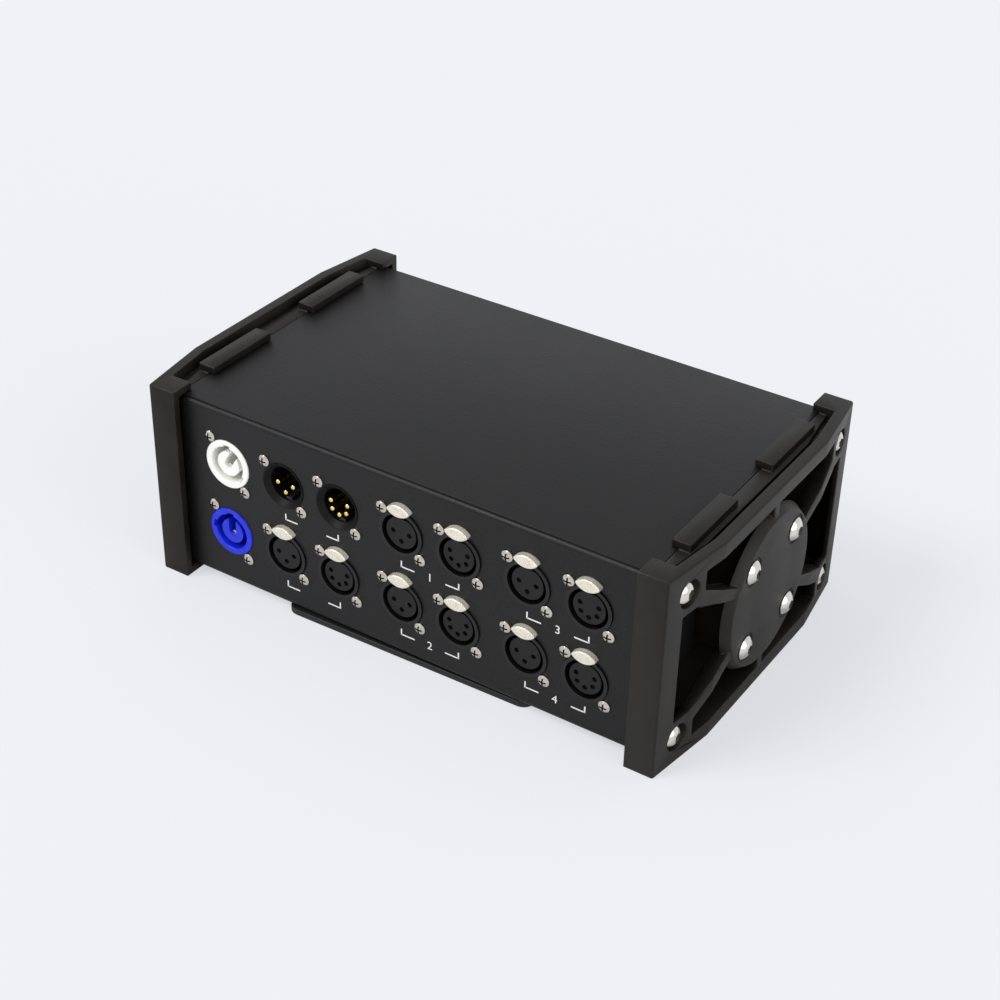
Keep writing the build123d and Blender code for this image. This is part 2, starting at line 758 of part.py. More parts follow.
def splitter_board_chips():
    """An isolator and a driver behind each output, and two isolated converters."""
    chips = []
    isolator = Box(*isolator_size, align=(Align.CENTER, Align.MIN, Align.CENTER))
    driver = Box(*driver_size, align=(Align.CENTER, Align.MIN, Align.CENTER))
    converter = Box(*converter_size, align=(Align.CENTER, Align.MIN, Align.CENTER))
    for left, right in ((COLUMN[1], COLUMN[2]), (COLUMN[3], COLUMN[4]), (COLUMN[5], COLUMN[6])):
        middle = (left + right) / 2
        for z in (LOWER, UPPER):
            chips.append(Pos(middle - chip_spacing, BOARD_BACK, z) * isolator)
            chips.append(Pos(middle, BOARD_BACK, z) * driver)
        chips.append(Pos(middle + chip_spacing, BOARD_BACK, mid_height) * converter)
    return group(chips)


def pillar_places():
    """The four pillars of the supply board."""
    across = supply_width / 2 - pillar_inset
    back = supply_depth / 2 - pillar_inset
    return [Pos(supply_x + sx * across, supply_y + sy * back, 0) for sx, sy in QUADRANTS]


def supply_pillars():
    """Pillars on the tray floor, bored for their screws."""
    bore = rod(socket_screw_radius + fit_gap, tray_floor + 1, SUPPLY_UNDER + 1)
    return group([place * (rod(pillar_radius, tray_floor, SUPPLY_UNDER) - bore) for place in pillar_places()])


def supply_board():
    """Flat board with a hole over each pillar."""
    board = Pos(supply_x, supply_y, SUPPLY_UNDER) * Box(supply_width, supply_depth, board_thickness,
                                                        align=AXIS_ALIGN)
    for place in pillar_places():
        board -= place * rod(socket_screw_radius + socket_screw_clearance, SUPPLY_UNDER - 1, SUPPLY_TOP + 1)
    return board


def supply_screws():
    """One screw into each pillar."""
    screw = cross_screw(socket_screw_radius, supply_screw_length, socket_head_radius, socket_head_height,
                        socket_head_rim)
    return group([place * Pos(0, 0, SUPPLY_TOP) * screw for place in pillar_places()])


def supply_transformer():
    """Laminated core standing on the board with the coil in its windows."""
    width, depth, height = transformer_size
    core = Box(width, depth / 2, height, align=AXIS_ALIGN)
    opening = Box(width / 2 - 1.5 * transformer_wall, depth, height - 2 * transformer_wall)
    shift = width / 4 - transformer_wall / 4
    for side in (-1, 1):
        core -= Pos(side * shift, 0, height / 2) * opening
    coil_width = width - 2 * transformer_wall - 2 * fit_gap
    coil_height = height - 2 * transformer_wall - 2 * fit_gap
    coil = Pos(0, 0, height / 2) * Box(coil_width, depth, coil_height)
    coil -= core
    place = Pos(supply_x + supply_width / 2 - supply_inset - width / 2, supply_y, SUPPLY_TOP)
    return group([place * core, place * coil])


def supply_capacitors():
    """Three upright capacitors with a bevelled top."""
    can = rod(capacitor_radius, 0, capacitor_height)
    can = chamfer(can.edges().sort_by(Axis.Z)[-1], capacitor_bevel)
    x = supply_x - supply_width / 2 + supply_inset + 2 * capacitor_radius
    return group([Pos(x, supply_y + k * capacitor_pitch, SUPPLY_TOP) * can for k in (-1, 0, 1)])


TERMINAL_BACK = supply_y - supply_depth / 2 + terminal_edge_gap + terminal_size[1]
TERMINAL_X = max(supply_x - supply_width / 2 + 2 * pillar_inset + terminal_size[0] / 2, COLUMN[0])


def supply_terminals():
    """Screw terminal block at the front edge of the supply board."""
    width, depth, height = terminal_size
    body = block(TERMINAL_X - width / 2, TERMINAL_X + width / 2, TERMINAL_BACK - depth, TERMINAL_BACK,
                 SUPPLY_TOP, SUPPLY_TOP + height)
    for k in (-1, 0, 1):
        hollow = rod(socket_head_radius, SUPPLY_TOP + height - terminal_hollow,
                     SUPPLY_TOP + height + 1)
        body -= Pos(TERMINAL_X + k * wire_pitch, TERMINAL_BACK - depth / 2, 0) * hollow
    return body


def wire(points, radius, bend):
    """Round wire along straight runs joined by bends."""
    path = FilletPolyline(*points, radius=bend)
    start = Vector(*points[0])
    section = Plane(origin=start, z_dir=Vector(*points[1]) - start) * Circle(radius)
    return sweep(section, path=path)


def tail_point(place_name, index):
    """End of a contact's tail behind a power socket."""
    x, z = POWER_PLACES[place_name]
    inside = ([Pos(0, -centre_contact_offset, 0)] + blade_places())[index]
    spot = (socket_place(x, z) * inside).position
    return spot.X, front_y + power_depth + blade_tail, spot.Z


def mains_wires():
    """Three wires between the two power sockets and three on to the terminals."""
    wires = []
    front = TERMINAL_BACK - terminal_size[1]
    height = SUPPLY_TOP + terminal_size[2] / 2
    for index in range(3):
        x, y, z = tail_point("power_link", index)
        low_x, low_y, low_z = tail_point("power_in", index)
        loop = y + link_loop + index * mains_step
        shift = mains_radius + fit_gap
        wires.append(wire([(x, y, z), (x, loop, z), (x, loop, low_z + shift), (x, low_y, low_z + shift)],
                          mains_radius, wire_bend / 2))
        end_x = TERMINAL_X + (1, -1, 0)[index] * wire_pitch
        under = low_z - shift
        run = y + link_loop + (index + 3) * mains_step
        wires.append(wire([(low_x, low_y, under), (low_x, run, under), (end_x, run, height),
                           (end_x, front, height)], mains_radius, wire_bend / 2))
    return group(wires)


def low_voltage_wires():
    """Two wires from the supply board to the strip of the splitter board between two pairs."""
    wires = []
    edge = supply_y - supply_depth / 2 + supply_inset
    free = (COLUMN[2] + COLUMN[3] + low_voltage_step) / 2
    turn = BOARD_BACK + converter_size[1] + 2 * wire_bend
    for k in (0, 1):
        step = k * low_voltage_step
        x = supply_x + supply_width / 2 - supply_inset - step
        top = LOWER + chip_spacing + step
        wires.append(wire([(x, edge, SUPPLY_TOP), (x, edge, top), (free - step, turn, top),
                           (free - step, BOARD_BACK, top)], low_voltage_radius, wire_bend))
    return group(wires)


# Screws and nuts of the panel

def socket_screws():
    """Two screws for each socket."""
    length = panel_sheet + flange_thickness + socket_nut_height + 1
    screw = cross_screw(socket_screw_radius, length, socket_head_radius, socket_head_height, socket_head_rim)
    return group([place * Pos(px, py, 0) * screw for place, (px, py) in all_screw_places()])


def socket_nuts():
    """A nut behind each socket screw."""
    nut = hex_nut(socket_nut_width, socket_nut_height, socket_screw_radius + fit_gap)
    back = FLANGE_BACK - socket_nut_height
    return group([place * Pos(px, py, back) * nut for place, (px, py) in all_screw_places()])


def panel_screws():
    """Screws up through the panels' bottom flanges into the tray."""
    screw = Rot(180, 0, 0) * cross_screw(socket_screw_radius, panel_screw_length, socket_head_radius,
                                         socket_head_height, socket_head_rim)
    return group([Pos(x, y, foot_height) * screw for x, y in panel_screw_places()])


# Mounting plate and its bolt

PLATE_BOTTOM = cheek_bottom + plate_above_floor
PLATE_TOP = PLATE_BOTTOM + plate_thickness
BOLT_HEAD_BOTTOM = PLATE_BOTTOM + bolt_head_recess
BOLT_HEAD_HEIGHT = bolt_head_radius - bolt_radius


def countersink(extra):
    """Cone and shank of the central bolt, grown by a clearance."""
    cone = Cone(bolt_head_radius + extra, bolt_radius + extra, BOLT_HEAD_HEIGHT, align=AXIS_ALIGN)
    return Pos(0, 0, BOLT_HEAD_BOTTOM) * cone


def mounting_plate():
    """Flat plate under the box, with a countersunk pivot hole and a circle of tapped holes."""
    outline = RectangleRounded(plate_width, plate_depth, plate_corner)
    plate = slab(outline, PLATE_BOTTOM, PLATE_TOP)
    plate -= countersink(running_gap)
    plate -= rod(bolt_head_radius + running_gap, PLATE_BOTTOM - 1, BOLT_HEAD_BOTTOM)
    plate -= rod(bolt_radius + running_gap, PLATE_BOTTOM, PLATE_TOP + 1)
    hole = rod(plate_hole_radius, PLATE_BOTTOM - 1, PLATE_TOP + 1)
    for place in PolarLocations(plate_hole_circle / 2, len(QUADRANTS), start_angle=45):
        plate -= place * hole
    return Rot(0, 0, plate_turn) * plate


def plate_bolt():
    """Countersunk bolt with a hexagon socket."""
    end = tray_floor + bolt_nut_height + screw_past_nut
    bolt = countersink(0) + rod(bolt_radius, BOLT_HEAD_BOTTOM, end)
    socket = RegularPolygon(bolt_socket_width / 2, 6, major_radius=False)
    return bolt - slab(socket, BOLT_HEAD_BOTTOM - 1, BOLT_HEAD_BOTTOM + bolt_socket_depth)


def plate_washer():
    """Washer between the plate and the tray."""
    low = PLATE_TOP + running_gap
    return rod(washer_radius, low, tray_bottom) - rod(bolt_radius + fit_gap, low - 1, tray_bottom + 1)


def plate_nut():
    """Nut on the tray floor."""
    return Pos(0, 0, tray_floor) * hex_nut(bolt_nut_width, bolt_nut_height, bolt_radius + fit_gap)


def placed(places, shape_for):
    """One solid at each contact of each socket."""
    return group([socket_place(x, z) * Pos(px, py, 0) * shape_for
                  for name, (x, z) in places.items() for px, py in contact_points(contact_count(name))])


def inserts(count):
    """The female inserts with this number of holes."""
    core = female_insert(count)
    return group([socket_place(x, z) * core for name, (x, z) in FEMALE_PLACES.items()
                  if contact_count(name) == count])


def main():
    """Builds every node and writes one file for each."""
    cheek = right_cheek()
    cheek_screws = right_cheek_screws()
    panel = folded_panel()
    nodes = {
        "base_tray": base_tray(),
        "front_panel": front_panel(),
        "rear_panel": mirror(panel, about=Plane.XZ),
        "top_cover": top_cover(),
        "panel_screws": panel_screws(),
        "right_cheek": cheek,
        "left_cheek": mirrored(cheek),
        "right_cheek_screws": cheek_screws,
        "left_cheek_screws": group([mirrored(s) for s in cheek_screws.solids()]),
        "cheek_screw_nuts": cheek_screw_nuts(),
        "splitter_board": splitter_board(),
        "splitter_board_chips": splitter_board_chips(),
        "supply_pillars": supply_pillars(),
        "supply_board": supply_board(),
        "supply_screws": supply_screws(),
        "supply_transformer": supply_transformer(),
        "supply_capacitors": supply_capacitors(),
        "supply_terminals": supply_terminals(),
        "mains_wires": mains_wires(),
        "low_voltage_wires": low_voltage_wires(),
        "mounting_plate": mounting_plate(),
        "plate_bolt": plate_bolt(),
        "plate_washer": plate_washer(),
        "plate_nut": plate_nut(),
        "socket_screws": socket_screws(),
        "socket_nuts": socket_nuts(),
        "three_hole_inserts": inserts(3),
        "five_hole_inserts": inserts(5),
        "female_contacts": placed(FEMALE_PLACES, female_contact()),
        "input_pins": placed(MALE_PLACES, male_pin()),
        "input_earth_tabs": group([socket_place(x, z) * earth_tab() for x, z in MALE_PLACES.values()]),
    }
    for name, (x, z) in POWER_PLACES.items():
        nodes[name + "_shell"] = socket_place(x, z) * power_shell(POWER_KEYS[name])
        nodes[name + "_post"] = socket_place(x, z) * power_post(POWER_SLOTS[name])
    blades = [socket_place(x, z) * blade for x, z in POWER_PLACES.values() for blade in power_blades()]
    nodes["power_contacts"] = group(blades)
    shell = male_shell()
    for name, (x, z) in MALE_PLACES.items():
        nodes[name + "_shell"] = socket_place(x, z) * shell
        nodes[name + "_insert"] = socket_place(x, z) * male_insert(contact_count(name))
    shell, tab = female_shell(), push_tab()
    for name, (x, z) in FEMALE_PLACES.items():
        nodes[name + "_shell"] = socket_place(x, z) * shell
        nodes[name + "_push_tab"] = socket_place(x, z) * tab
    os.makedirs("parts", exist_ok=True)
    for name, shape in nodes.items():
        export_step(shape, f"parts/{name}.step")
    print(len(nodes), "nodes")


main()
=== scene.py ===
"""Looks of a stage-lighting data splitter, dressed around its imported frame.

Every length is in metres, in the frame's own axes: +X to the right along the socket panel,
+Y to the rear, +Z up, with the origin at the bottom centre.
"""

import logging
import math
from collections.abc import Iterable, Sequence
from dataclasses import dataclass
from enum import Enum
from functools import cache

import bmesh
import bpy
from mathutils import Matrix, Vector


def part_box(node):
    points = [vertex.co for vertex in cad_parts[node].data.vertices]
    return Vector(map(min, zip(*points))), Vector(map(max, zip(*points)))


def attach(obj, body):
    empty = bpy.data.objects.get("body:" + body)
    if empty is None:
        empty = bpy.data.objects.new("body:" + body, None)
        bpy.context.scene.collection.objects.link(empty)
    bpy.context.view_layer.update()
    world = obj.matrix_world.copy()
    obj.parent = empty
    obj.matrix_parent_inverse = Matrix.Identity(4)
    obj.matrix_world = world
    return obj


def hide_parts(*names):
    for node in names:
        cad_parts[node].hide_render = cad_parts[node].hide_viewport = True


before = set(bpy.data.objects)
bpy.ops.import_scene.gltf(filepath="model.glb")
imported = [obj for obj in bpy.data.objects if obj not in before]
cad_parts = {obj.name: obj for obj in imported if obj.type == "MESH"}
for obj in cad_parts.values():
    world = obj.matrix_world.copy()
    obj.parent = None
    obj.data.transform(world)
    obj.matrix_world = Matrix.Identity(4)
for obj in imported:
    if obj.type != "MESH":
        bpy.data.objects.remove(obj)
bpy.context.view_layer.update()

LOG = logging.getLogger("splitter")
MM = 0.001
ROOT = "root"
CREASE = 32.0  # angle in degrees over which an edge stays sharp
Triple = tuple[float, float, float]
Colour = Triple


class Term:
    """A shader socket that takes part in Python arithmetic."""

    def __init__(self, graph: "Graph", socket: bpy.types.NodeSocket) -> None:
        """Keeps the socket and the graph it belongs to."""
        self.graph = graph
        self.socket = socket

    def _math(self, operation: str, *values: "Term | float", clamp: bool = False) -> "Term":
        """Adds a Math node.

        Args:
            operation: The Math node's operation.
            values: Its inputs in order.
            clamp: Whether the result is held between 0 and 1.

        Returns:
            The node's result.
        """
        settings = {"operation": operation, "use_clamp": clamp}
        return self.graph.node("ShaderNodeMath", settings, dict(enumerate(values)))

    def __add__(self, other: "Term | float") -> "Term":
        """Sum."""
        return self._math("ADD", self, other)

    __radd__ = __add__

    def __mul__(self, other: "Term | float") -> "Term":
        """Product."""
        return self._math("MULTIPLY", self, other)

    __rmul__ = __mul__

    def __sub__(self, other: "Term | float") -> "Term":
        """Difference."""
        return self._math("SUBTRACT", self, other)

    def __rsub__(self, other: "Term | float") -> "Term":
        """Difference taken from the other value."""
        return self._math("SUBTRACT", other, self)

    def clamped(self) -> "Term":
        """The value held between 0 and 1."""
        return self._math("ADD", self, 0.0, clamp=True)

    def larger(self, other: "Term") -> "Term":
        """The greater of two values."""
        return self._math("MAXIMUM", self, other)

    def swing(self, reach: float) -> "Term":
        """A field that lies about a half, moved to lie about zero and scaled to this reach."""
        return (self - 0.5) * reach

    def above(self, level: float, gain: float) -> "Term":
        """Zero up to a level, then rising with this gain to one."""
        return ((self - level) * gain).clamped()


class Graph:
    """The node tree of a material or a world."""

    def __init__(self, owner: bpy.types.Material | bpy.types.World) -> None:
        """Empties the owner's tree.

        Args:
            owner: The material or world that the nodes belong to.
        """
        self.owner = owner
        owner.use_nodes = True
        self.tree = owner.node_tree
        self.tree.nodes.clear()
        self._place: Term | None = None

    @classmethod
    def of_material(cls, name: str) -> "Graph":
        """The empty graph of a new material."""
        return cls(bpy.data.materials.new(name))

    def node(self, kind: str, settings: dict | None = None, inputs: dict | None = None,
             output: int | str = 0) -> Term:
        """Adds a node.

        Args:
            kind: The node's type.
            settings: Its attributes, which are set first.
            inputs: Values or terms by socket name or index.
            output: The output that is returned.

        Returns:
            The chosen output.
        """
        made = self.tree.nodes.new(kind)
        for name, value in (settings or {}).items():
            setattr(made, name, value)
        for key, value in (inputs or {}).items():
            if isinstance(value, Term):
                self.tree.links.new(value.socket, made.inputs[key])
            else:
                made.inputs[key].default_value = value
        return Term(self, made.outputs[output] if made.outputs else None)

    def place(self) -> Term:
        """Position on the object in metres."""
        if self._place is None:
            self._place = self.node("ShaderNodeTexCoord", output="Object")
        return self._place

    def noise(self, size: float, detail: float = 2.0, rough: float = 0.5) -> Term:
        """Cloud noise.

        Args:
            size: Size of its features in metres.
            detail: Octaves.
            rough: Weight of the finer octaves.

        Returns:
            Values about a half.
        """
        inputs = {"Vector": self.place(), "Scale": 1.0 / size, "Detail": detail, "Roughness": rough}
        return self.node("ShaderNodeTexNoise", None, inputs)

    def cells(self, size: float) -> Term:
        """Distance to the nearest of scattered points, whose spacing is the size."""
        return self.node("ShaderNodeTexVoronoi", None, {"Vector": self.place(), "Scale": 1.0 / size})

    def tiles(self, size: float, joint: float) -> Term:
        """Staggered tiles.

        Args:
            size: Size of the pattern in metres.
            joint: Width of the lines between tiles as a share of the size.

        Returns:
            One on the lines and zero on the tiles.
        """
        inputs = {"Vector": self.place(), "Scale": 1.0 / size, "Mortar Size": joint}
        return self.node("ShaderNodeTexBrick", None, inputs, output="Fac")

    def blend(self, factor: Term | float, low: Term | Colour, high: Term | Colour) -> Term:
        """A colour between two others.

        Args:
            factor: Share of the second colour.
            low: The first colour.
            high: The second colour.

        Returns:
            The mixed colour.
        """
        ends = [value if isinstance(value, Term) else rgba(value) for value in (low, high)]
        inputs = {0: factor, 6: ends[0], 7: ends[1]}
        return self.node("ShaderNodeMix", {"data_type": "RGBA"}, inputs, output=2)

    def relief(self, height: Term, depth: float) -> Term:
        """Bumped normal.

        Args:
            height: Height between 0 and 1.
            depth: Height of a full step in metres.

        Returns:
            The normal.
        """
        return self.node("ShaderNodeBump", None, {"Height": height, "Distance": depth, "Strength": 1.0})

    def surface(self, inputs: dict) -> bpy.types.Material:
        """Closes the material with a Principled shader.

        Args:
            inputs: Its sockets by name.

        Returns:
            The finished material.
        """
        shader = self.node("ShaderNodeBsdfPrincipled", None, inputs)
        self.node("ShaderNodeOutputMaterial", None, {"Surface": shader})
        return self.owner


def rgba(colour: Colour) -> tuple[float, float, float, float]:
    """The colour with full opacity."""
    return (*colour, 1.0)


@dataclass(frozen=True)
class PowderCoat:
    """Baked powder on steel: fine grain with a few paler specks.

    Attributes:
        name: Name of the material.
        colour: Main colour.
        speck: Colour of the specks.
        roughness: Mean roughness.
        gloss: Level of the mirror light.
        grain: Size of the grain.
        depth: Height of the grain.
        cloud_size: Size of the broad changes of tone.
        speck_from: Level of the grain at which specks start.
        speck_gain: How quickly they turn pale above it.
    """

    name: str
    colour: Colour
    speck: Colour
    roughness: float = 0.46
    gloss: float = 0.42
    grain: float = 0.7 * MM
    depth: float = 0.07 * MM
    cloud_size: float = 55 * MM
    speck_from: float = 0.55
    speck_gain: float = 5.0

    def material(self) -> bpy.types.Material:
        """Builds the finish.

        Returns:
            Its material.
        """
        graph = Graph.of_material(self.name)
        fine = graph.noise(self.grain, detail=3.0, rough=0.6)
        broad = graph.noise(self.cloud_size, detail=2.0)
        specks = (fine - self.speck_from).clamped() * self.speck_gain
        tone = broad.swing(0.5) + specks
        colour = graph.blend(tone.clamped(), self.colour, self.speck)
        rough = self.roughness + broad.swing(0.12) + fine.swing(0.25)
        lumps = graph.noise(2.2 * self.grain, detail=1.0)
        height = lumps + fine * 0.6
        return graph.surface({"Base Color": colour, "Roughness": rough.clamped(),
                              "Specular IOR Level": self.gloss,
                              "Normal": graph.relief(height, self.depth)})


@dataclass(frozen=True)
class MouldedRubber:
    """Matte moulding with a fine grain, cloudy tone and, on edges, pale scuffs.

    Attributes:
        name: Name of the material.
        colour: Main colour.
        pale: Colour of its paler clouds.
        scuff: Cover of the scuffs, or zero for none.
        scuff_lift: How many times paler a scuff is.
        roughness: Mean roughness.
        gloss: Level of the mirror light.
        grain: Size of the grain.
        depth: Height of the grain.
        cloud_size: Size of the clouds.
        dust_size: Size of the scuffs.
        mean_tone: Share of the paler colour on average.
    """

    name: str
    colour: Colour
    pale: Colour
    scuff: float = 0.0
    scuff_lift: float = 3.2
    roughness: float = 0.46
    gloss: float = 0.26
    grain: float = 0.6 * MM
    depth: float = 0.07 * MM
    cloud_size: float = 14 * MM
    dust_size: float = 2.4 * MM
    mean_tone: float = 0.3

    def material(self) -> bpy.types.Material:
        """Builds the finish.

        Returns:
            Its material.
        """
        graph = Graph.of_material(self.name)
        fine = graph.noise(self.grain, detail=3.0, rough=0.65)
        cloud = graph.noise(self.cloud_size, detail=4.0, rough=0.6)
        dust = graph.noise(self.dust_size, detail=3.0, rough=0.7)
        tone = cloud.swing(1.1) + fine.swing(0.5) + self.mean_tone
        colour = graph.blend(tone.clamped(), self.colour, self.pale)
        if self.scuff:
            worn = dust.above(0.52, 6.0) * self.scuff
            colour = graph.blend(worn, colour, tuple(self.scuff_lift * part for part in self.pale))
        rough = self.roughness + cloud.swing(0.16) + fine.swing(0.12)
        height = fine * 0.7 + dust * 0.5
        return graph.surface({"Base Color": colour, "Roughness": rough.clamped(),
                              "Specular IOR Level": self.gloss,
                              "Normal": graph.relief(height, self.depth)})


@dataclass(frozen=True)
class PlatedMetal:
    """Bright plating: chrome, nickel, zinc, tin or gold, with faint haze.

    Attributes:
        name: Name of the material.
        colour: Main colour.
        dull: Colour of its duller patches.
        roughness: Mean roughness.
        haze: How far the roughness varies.
        grain: Size of the patches.
        fine_share: Size of the fine haze as a share of the patches.
        depth: Height of the fine haze.
    """

    name: str
    colour: Colour
    dull: Colour
    roughness: float
    haze: float = 0.08
    grain: float = 1.5 * MM
    fine_share: float = 0.18
    depth: float = 0.006 * MM

    def material(self) -> bpy.types.Material:
        """Builds the finish.

        Returns:
            Its material.
        """
        graph = Graph.of_material(self.name)
        cloud = graph.noise(self.grain, detail=3.0)
        fine = graph.noise(self.fine_share * self.grain, detail=2.0)
        colour = graph.blend(cloud.above(0.45, 2.2), self.colour, self.dull)
        rough = self.roughness + (cloud - 0.4) * self.haze + fine.swing(self.haze)
        return graph.surface({"Base Color": colour, "Metallic": 1.0, "Roughness": rough.clamped(),
                              "Normal": graph.relief(fine, self.depth)})


@dataclass(frozen=True)
class MouldedPlastic:
    """Hard moulded plastic with soft mottling and a fine spark-eroded grain.

    Attributes:
        name: Name of the material.
        colour: Main colour.
        shade: Colour of the mottling.
        roughness: Mean roughness.
        gloss: Level of the mirror light.
        grain: Size of the grain.
        depth: Height of the grain.
        cloud_size: Size of the mottling.
    """

    name: str
    colour: Colour
    shade: Colour
    roughness: float = 0.38
    gloss: float = 0.5
    grain: float = 0.35 * MM
    depth: float = 0.012 * MM
    cloud_size: float = 6 * MM

    def material(self) -> bpy.types.Material:
        """Builds the finish.

        Returns:
            Its material.
        """
        graph = Graph.of_material(self.name)
        cloud = graph.noise(self.cloud_size, detail=3.0)
        fine = graph.noise(self.grain, detail=2.0)
        colour = graph.blend(cloud.above(0.35, 1.4), self.colour, self.shade)
        rough = self.roughness + cloud.swing(0.10) + fine.swing(0.14)
        return graph.surface({"Base Color": colour, "Roughness": rough.clamped(),
                              "Specular IOR Level": self.gloss, "Normal": graph.relief(fine, self.depth)})


@dataclass(frozen=True)
class GrainedTab:
    """Pale die-cast push tab with a coarse pressed grain, with painted shade on the pits' floors.

    Attributes:
        name: Name of the material.
        colour: Colour between the pits.
        shade: Colour of the pits' floors, darker as painted shade.
        roughness: Mean roughness.
        metal: Share of bare metal.
        grain: Spacing of the pits.
        depth: Depth of the pits.
        cloud_size: Size of the changes of tone.
    """

    name: str
    colour: Colour
    shade: Colour
    roughness: float = 0.42
    metal: float = 0.55
    grain: float = 0.42 * MM
    depth: float = 0.10 * MM
    cloud_size: float = 2.5 * MM

    def material(self) -> bpy.types.Material:
        """Builds the finish.

        Returns:
            Its material.
        """
        graph = Graph.of_material(self.name)
        pits = graph.cells(self.grain)
        cloud = graph.noise(self.cloud_size, detail=2.0)
        # Painted shade: the colour turns to the darker shade towards the floor of each pit.
        tone = ((0.62 - pits) * 1.6 + cloud.swing(0.8)).clamped()
        colour = graph.blend(tone, self.colour, self.shade)
        rough = self.roughness + cloud.swing(0.2)
        return graph.surface({"Base Color": colour, "Metallic": self.metal, "Roughness": rough.clamped(),
                              "Normal": graph.relief(pits, self.depth)})


@dataclass(frozen=True)
class PrintedInk:
    """Screen-printed ink, a little uneven in cover.

    Attributes:
        name: Name of the material.
        colour: Colour of full cover.
        thin: Colour where the ink is thin.
        roughness: Mean roughness.
        grain: Size of the thin spots.
        depth: Height of the unevenness.
    """

    name: str
    colour: Colour
    thin: Colour
    roughness: float = 0.5
    grain: float = 0.35 * MM
    depth: float = 0.01 * MM

    def material(self) -> bpy.types.Material:
        """Builds the finish.

        Returns:
            Its material.
        """
        graph = Graph.of_material(self.name)
        spots = graph.noise(self.grain, detail=2.0)
        colour = graph.blend(spots.above(0.58, 3.0), self.colour, self.thin)
        rough = self.roughness + spots.swing(0.3)
        return graph.surface({"Base Color": colour, "Roughness": rough.clamped(),
                              "Normal": graph.relief(spots, self.depth)})


@dataclass(frozen=True)
class BoardLaminate:
    """Circuit board: lacquer over copper tracks.

    Attributes:
        name: Name of the material.
        colour: Colour of the board.
        track: Colour of the tracks under the lacquer.
        track_size: Spacing of the tracks.
        track_width: Their width as a share of the spacing.
        track_depth: Their height.
        cloud_size: Size of the changes of tone.
        lacquer: Weight of the clear lacquer.
        lacquer_rough: Its roughness.
    """

    name: str
    colour: Colour
    track: Colour
    track_size: float = 7 * MM
    track_width: float = 0.06
    track_depth: float = 0.03 * MM
    cloud_size: float = 4 * MM
    lacquer: float = 0.4
    lacquer_rough: float = 0.15

    def material(self) -> bpy.types.Material:
        """Builds the finish.

        Returns:
            Its material.
        """
        graph = Graph.of_material(self.name)
        tracks = graph.tiles(self.track_size, self.track_width)
        cloud = graph.noise(self.cloud_size, detail=2.0)
        tone = tracks * 0.8 + cloud.swing(0.3)
        colour = graph.blend(tone.clamped(), self.colour, self.track)
        rough = 0.28 + cloud * 0.15
        return graph.surface({"Base Color": colour, "Roughness": rough.clamped(),
                              "Coat Weight": self.lacquer, "Coat Roughness": self.lacquer_rough,
                              "Normal": graph.relief(tracks, self.track_depth)})


